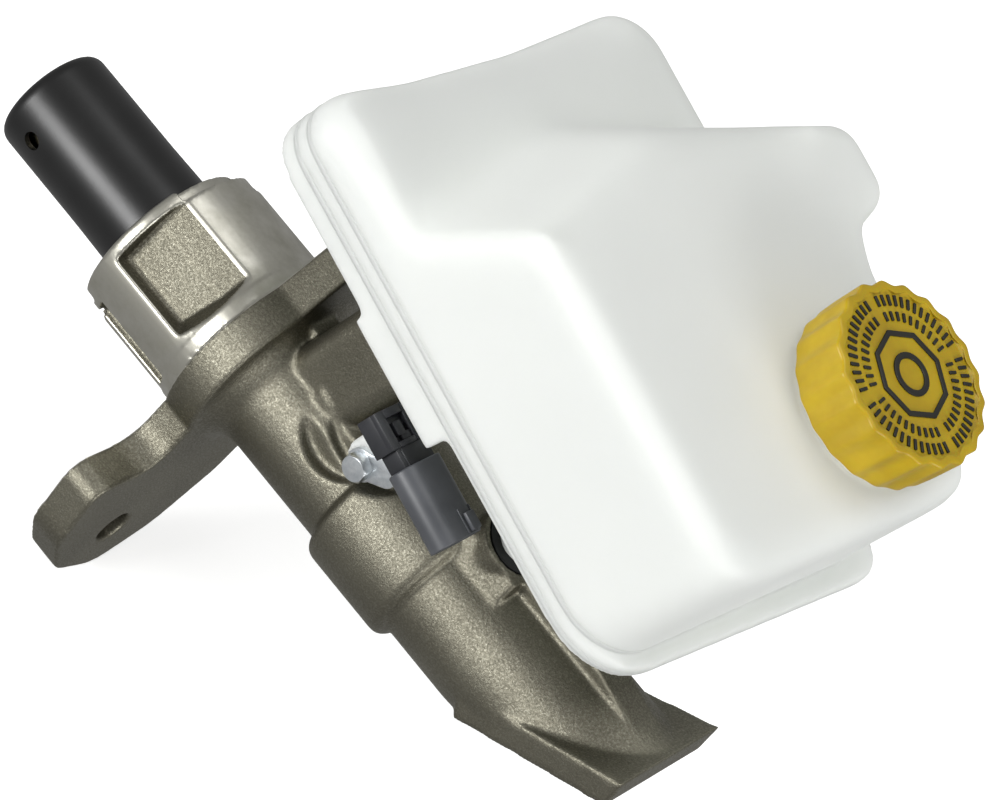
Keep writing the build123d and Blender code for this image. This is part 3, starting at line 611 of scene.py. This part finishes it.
def makeCap(setup):
    bottom, rim, bore = setup["bottom"], setup["radius"], setup["bore"]
    top = bottom + setup["height"]
    face, ceiling = top - setup["recess"], top - setup["topWall"]
    outer = [(bore, bottom), (rim - 0.7, bottom), (rim - 0.25, bottom + 6), (rim, top),
             (setup["faceRadius"] + 0.4, top), (setup["faceRadius"] - 0.5, face), (0.0, face)]
    inside = [(0.0, ceiling), (bore, ceiling), (bore, bottom)]

    def scallops(angle, radius, height):
        # only the rim is wavy, and it fades towards the skirt
        if radius < rim - 2.2:
            return 0.0
        ridge = 0.5 - 0.5 * math.cos(setup["lobes"] * angle)
        fade = min(1.0, max(0.0, (height - bottom) / 3.0))
        return -setup["scallop"] * ridge ** 0.8 * (0.35 + 0.65 * fade)

    profile = softCorners(outer, setup["edgeRounding"], 6) + inside
    piece = revolve("fillerCap", profile, 320, scallops)
    placeCap(piece, setup)
    shadeSmooth(piece, 40)
    finishPiece(piece, "cap", "capYellow", ["filler_cap"])


def around(radius, count):
    return [(radius * math.cos(2 * math.pi * k / count), radius * math.sin(2 * math.pi * k / count))
            for k in range(count)]


def bandInto(shape, outline, inner, low, high):
    # adds a raised band between two outlines, in mm
    rows = []
    for ring, level in ((outline, low), (outline, high), (inner, high), (inner, low)):
        rows.append([shape.verts.new((x * mm, y * mm, level * mm)) for x, y in ring])
    for a, b in zip(rows, rows[1:]):
        for i in range(len(outline)):
            j = (i + 1) % len(outline)
            shape.faces.new((a[i], a[j], b[j], b[i]))


def makeCapMarking(setup):
    # a plain octagon and ring, and two rings of plain raised bars
    shape = bmesh.new()
    low = setup["bottom"] + setup["height"] - setup["recess"] - 0.05
    high = low + setup["markHeight"]
    for name, count in (("octagon", 8), ("ring", 64)):
        outer, inner = setup[name]
        bandInto(shape, around(outer, count), around(inner, count), low, high)
    for radius, length, width, count, gaps in setup["bars"]:
        start, end = (radius - length / 2, -width / 2, low), (radius + length / 2, width / 2, high)
        for k in range(count):
            if k % gaps == 0:
                continue
            turn = Matrix.Rotation(2 * math.pi * k / count, 4, "Z")
            for vert in blockInto(shape, start, end):
                vert.co = turn @ vert.co
    piece = fromShape("capMarking", shape)
    placeCap(piece, setup)
    bevelEdges(piece, 0.14, 2)
    shadeSmooth(piece, 40)
    finishPiece(piece, "cap", "capBlack", ["cap_marking"])


makeCap(capSet)
makeCapMarking(capSet)
print("cap made")


# lengths are in mm in the level frame
weldSet = {
    "heights": (62.9, 67.6),     # one bead on each half of the moulding
    "width": 1.6,
    "proud": 0.18,               # how far a bead stands out
    "root": 0.6,                 # how far it reaches into the wall
    "farLimit": 98.9,            # a bead keeps nearer than this t
}


def outerLoop(piece, height):
    # the outline of the moulding at one level, as an ordered ring of points in the level frame
    shape = bmesh.new()
    shape.from_mesh(piece.data)
    shape.transform(toLevel)
    everything = shape.verts[:] + shape.edges[:] + shape.faces[:]
    cut = bmesh.ops.bisect_plane(shape, geom=everything, plane_co=(0, 0, height * mm), plane_no=(0, 0, 1),
                                 clear_inner=True, clear_outer=True)
    links = {}
    for edge in [e for e in cut["geom_cut"] if isinstance(e, bmesh.types.BMEdge)]:
        a, b = edge.verts
        links.setdefault(a, []).append(b)
        links.setdefault(b, []).append(a)
    loops = []
    seen = set()
    for start in links:
        if start in seen:
            continue
        ring, current = [], start
        while current is not None:
            seen.add(current)
            ring.append(current.co.xy.copy())
            current = next((v for v in links[current] if v not in seen), None)
        loops.append(ring)
    shape.free()
    longest = max(loops, key=lambda ring: max(p.x for p in ring) - min(p.x for p in ring))
    points = np.array([tuple(p) for p in longest])
    for _ in range(4):
        points = (np.roll(points, 1, 0) + 2 * points + np.roll(points, -1, 0)) / 4
    return points


def makeWeldBead(name, piece, height, setup):
    ring = outerLoop(piece, height)
    ahead = np.roll(ring, -1, 0) - np.roll(ring, 1, 0)
    out = np.stack([ahead[:, 1], -ahead[:, 0]], 1)
    out /= np.maximum(np.linalg.norm(out, axis=1), 1e-9)[:, None]
    if ((ring - ring.mean(0)) * out).sum() < 0:     # the ring may run either way round
        out = -out
    half, proud, root = setup["width"] / 2 * mm, setup["proud"] * mm, -setup["root"] * mm
    section = [(root, -half), (0.0, -half), (proud * 0.75, -half * 0.55), (proud, 0.0),
               (proud * 0.75, half * 0.55), (0.0, half), (root, half)]
    count, rows = len(ring), len(section)
    points = []
    for i in range(count):
        for reach, lift in section:
            l, t = ring[i] + out[i] * reach
            points.append((l, min(t, setup["farLimit"] * mm), height * mm + lift))
    faces = []
    for i in range(count):
        j = (i + 1) % count
        for k in range(rows - 1):
            faces.append((i * rows + k, j * rows + k, j * rows + k + 1, i * rows + k + 1))
    mesh = bpy.data.meshes.new(name)
    mesh.from_pydata(points, [], faces)
    mesh.transform(fromLevel)
    bead = newPiece(name, mesh)
    shadeSmooth(bead)
    finishPiece(bead, "cylinder", "reservoir")


for number, height in enumerate(weldSet["heights"]):
    makeWeldBead("weldBead%d" % (number + 1), reservoir, height, weldSet)
print("weld beads made")


# lengths are in mm in the level frame
sensorSet = {
    "place": (37.0, -21.5, 46.3),
    "head": (9.4, 13.4, 6.2),        # length, width and height
    "frame": 1.5,                    # depth of the window in the head's top
    "neck": 4.6,
    "socket": (20.0, 14.8, 8.4),     # length, width and height
    "wall": 1.25,
    "socketDepth": 14.0,
    "edges": 0.22,                   # rounding of every edge
}


def barRing(width, height, steps=14):
    # outline of a rounded bar, across t and h
    half, radius = (width - height) / 2, height / 2
    ring = []
    for side, start in ((1, -90), (-1, 90)):
        for k in range(steps + 1):
            angle = math.radians(start + 180 * k / steps)
            ring.append((side * half + radius * math.cos(angle), radius * math.sin(angle)))
    return ring


def makeSensor(setup):
    shape = bmesh.new()
    length, width, height = setup["head"]
    start, wide, tall = -length / 2, width / 2, height / 2
    headEnd = start + length
    neckEnd = headEnd + setup["neck"]
    low = tall - setup["frame"]
    sunk = low - 0.2
    # head: a box with a frame round the deep window in its top
    blockInto(shape, (start, -wide, -tall), (headEnd, wide, low))
    blockInto(shape, (start, -wide, sunk), (headEnd, -3.9, tall))
    blockInto(shape, (start, 1.9, sunk), (headEnd, wide - 2.4, tall))
    blockInto(shape, (start, -3.9, sunk), (start + 2.0, 1.9, tall))
    blockInto(shape, (headEnd - 1.3, -3.9, sunk), (headEnd, 1.9, tall))
    # latch tongue in the window
    blockInto(shape, (start + 3.4, -2.4, sunk), (headEnd - 2.6, 0.3, tall - 0.35))
    blockInto(shape, (headEnd - 3.1, -1.5, sunk), (headEnd - 1.0, 1.9, tall - 0.45))
    # rail and snap wedge beside the window
    blockInto(shape, (start + 0.8, wide - 1.9, sunk), (headEnd + 0.8, wide - 0.9, tall - 0.3))
    blockInto(shape, (headEnd - 2.2, wide - 0.9, -tall + 1.2), (headEnd + 2.4, wide + 0.2, tall - 1.4))
    # neck with a middle edge
    blockInto(shape, (headEnd - 0.5, -wide + 1.2, -tall + 0.5), (neckEnd + 0.5, wide - 1.6, tall - 0.5))
    blockInto(shape, (headEnd - 0.5, -wide + 2.6, -tall + 0.7), (neckEnd + 0.5, -wide + 3.0, tall - 0.28))
    # socket: a hollow rounded bar in the greyer plastic, as places along l and how far in each ring sits
    socketLength, socketWidth, socketHeight = setup["socket"]
    socketEnd, wall = neckEnd + socketLength, setup["wall"]
    floor = socketEnd - setup["socketDepth"]
    sections = [(neckEnd, 1.2), (neckEnd, 0.3), (neckEnd + 0.3, 0.0), (socketEnd - 0.25, 0.0), (socketEnd, 0.2),
                (socketEnd, wall - 0.2), (socketEnd - 0.25, wall), (floor, wall), (floor, wall + 1.6)]
    rows = []
    for l, inset in sections:
        ring = barRing(socketWidth - 2 * inset, socketHeight - 2 * inset)
        rows.append([shape.verts.new((l * mm, t * mm, h * mm)) for t, h in ring])
    for a, b in zip(rows, rows[1:]):
        for i in range(len(a)):
            j = (i + 1) % len(a)
            shape.faces.new((a[i], a[j], b[j], b[i])).material_index = 1
    shape.faces.new(rows[0]).material_index = 1
    shape.faces.new(rows[-1]).material_index = 1
    # lock nub on the socket, with raised rails beside it
    top = socketHeight / 2
    blockInto(shape, (socketEnd - 5.2, 1.7, top - 0.6), (socketEnd - 0.4, 4.9, top + 1.0), 1, 0.12)
    blockInto(shape, (socketEnd - 6.6, 0.7, top - 0.4), (socketEnd - 0.5, 1.1, top + 0.28), 1)
    blockInto(shape, (socketEnd - 6.6, 5.2, top - 1.4), (socketEnd - 0.5, 5.6, top - 0.25), 1)
    piece = fromShape("levelSensor", shape)
    bevelEdges(piece, setup["edges"], 2, 40)
    shadeSmooth(piece, 38)
    piece.data.transform(fromLevel @ Matrix.Translation([v * mm for v in setup["place"]]))
    piece.data.materials.append(finishes["sensor"])
    piece.data.materials.append(finishes["socket"])
    finishPiece(piece, "cylinder", "sensor", ["sensor_housing"])


makeSensor(sensorSet)
print("sensor made")


# the bevel of the edges is in mm
platedSet = {
    "retaining_bolt": {"name": "reservoirBolt", "bevel": 0.28},
    "clamp_plate": {"name": "boltPlate", "bevel": 0.20},
}


def makePlated(node, setup):
    piece = copyNodes([node], setup["name"])
    shape = bmesh.new()
    shape.from_mesh(piece.data)
    bmesh.ops.dissolve_limit(shape, angle_limit=math.radians(2), verts=shape.verts, edges=shape.edges)
    shape.to_mesh(piece.data)
    shape.free()
    bevelEdges(piece, setup["bevel"], 3, 35)
    shadeSmooth(piece, 35)
    piece.data.materials.clear()
    finishPiece(piece, "cylinder", "zinc", [node])


for node, setup in platedSet.items():
    makePlated(node, setup)
print("bolt and plate made")


# lengths are in metres
stageSet = {
    "floorSize": 20.0,
    "floorGap": 0.0005,      # between the floor and the object's lowest point
    "floorColor": "f6f6f5",
    "floorGlow": 0.60,       # evens out the shadows on the pale floor
    "world": 0.34,           # soft light from everywhere
}


def makeStage(setup, low):
    mesh = bpy.data.meshes.new("studioFloor")
    half = setup["floorSize"] / 2
    level = low - setup["floorGap"]
    corners = [(-half, -half, level), (half, -half, level), (half, half, level), (-half, half, level)]
    mesh.from_pydata(corners, [], [(0, 1, 2, 3)])
    floor = bpy.data.objects.new("studioFloor", mesh)
    scene.collection.objects.link(floor)
    material, _, shader, _ = newMaterial("paintedFloorMatt", Roughness=0.9)      # no shine under the object
    shader.inputs["Base Color"].default_value = hexColor(setup["floorColor"])
    shader.inputs["Emission Color"].default_value = (1.0, 1.0, 1.0, 1.0)
    shader.inputs["Emission Strength"].default_value = setup["floorGlow"]
    floor.visible_diffuse = False
    floor.visible_glossy = False
    mesh.materials.append(material)
    world = bpy.data.worlds.new("studioWorld")
    world.use_nodes = True
    background = world.node_tree.nodes["Background"]
    background.inputs["Color"].default_value = (1.0, 1.0, 1.0, 1.0)
    background.inputs["Strength"].default_value = setup["world"]
    scene.world = world


lightSet = [
    # place seen from the camera (right, up, towards it) in metres, size in metres, power in watts
    {"name": "leftPanel", "place": (-0.78, 0.06, 0.86), "size": 0.42, "power": 10.5},
    {"name": "topPanel", "place": (0.65, 0.75, 0.80), "size": 0.90, "power": 6.5},
    {"name": "lowPanel", "place": (0.70, -0.90, 0.50), "size": 0.70, "power": 9.0},
]


def makeLights(view, boxes, target):
    axes = [Vector(view[name]) for name in ("right", "up", "back")]
    for box in boxes:
        light = bpy.data.lights.new(box["name"], "AREA")
        light.size = box["size"]
        light.energy = box["power"]
        lamp = bpy.data.objects.new(box["name"], light)
        offset = sum((axis * amount for axis, amount in zip(axes, box["place"])), Vector())
        lamp.location = target + offset
        lamp.rotation_mode = "QUATERNION"
        lamp.rotation_quaternion = offset.to_track_quat("Z", "Y")
        scene.collection.objects.link(lamp)


middle = (cadBox[0] + cadBox[1]) / 2
makeStage(stageSet, cadBox[0].z)
makeLights(cameraSet, lightSet, middle)
scene.view_settings.view_transform = "Standard"
print("stage and lights made")
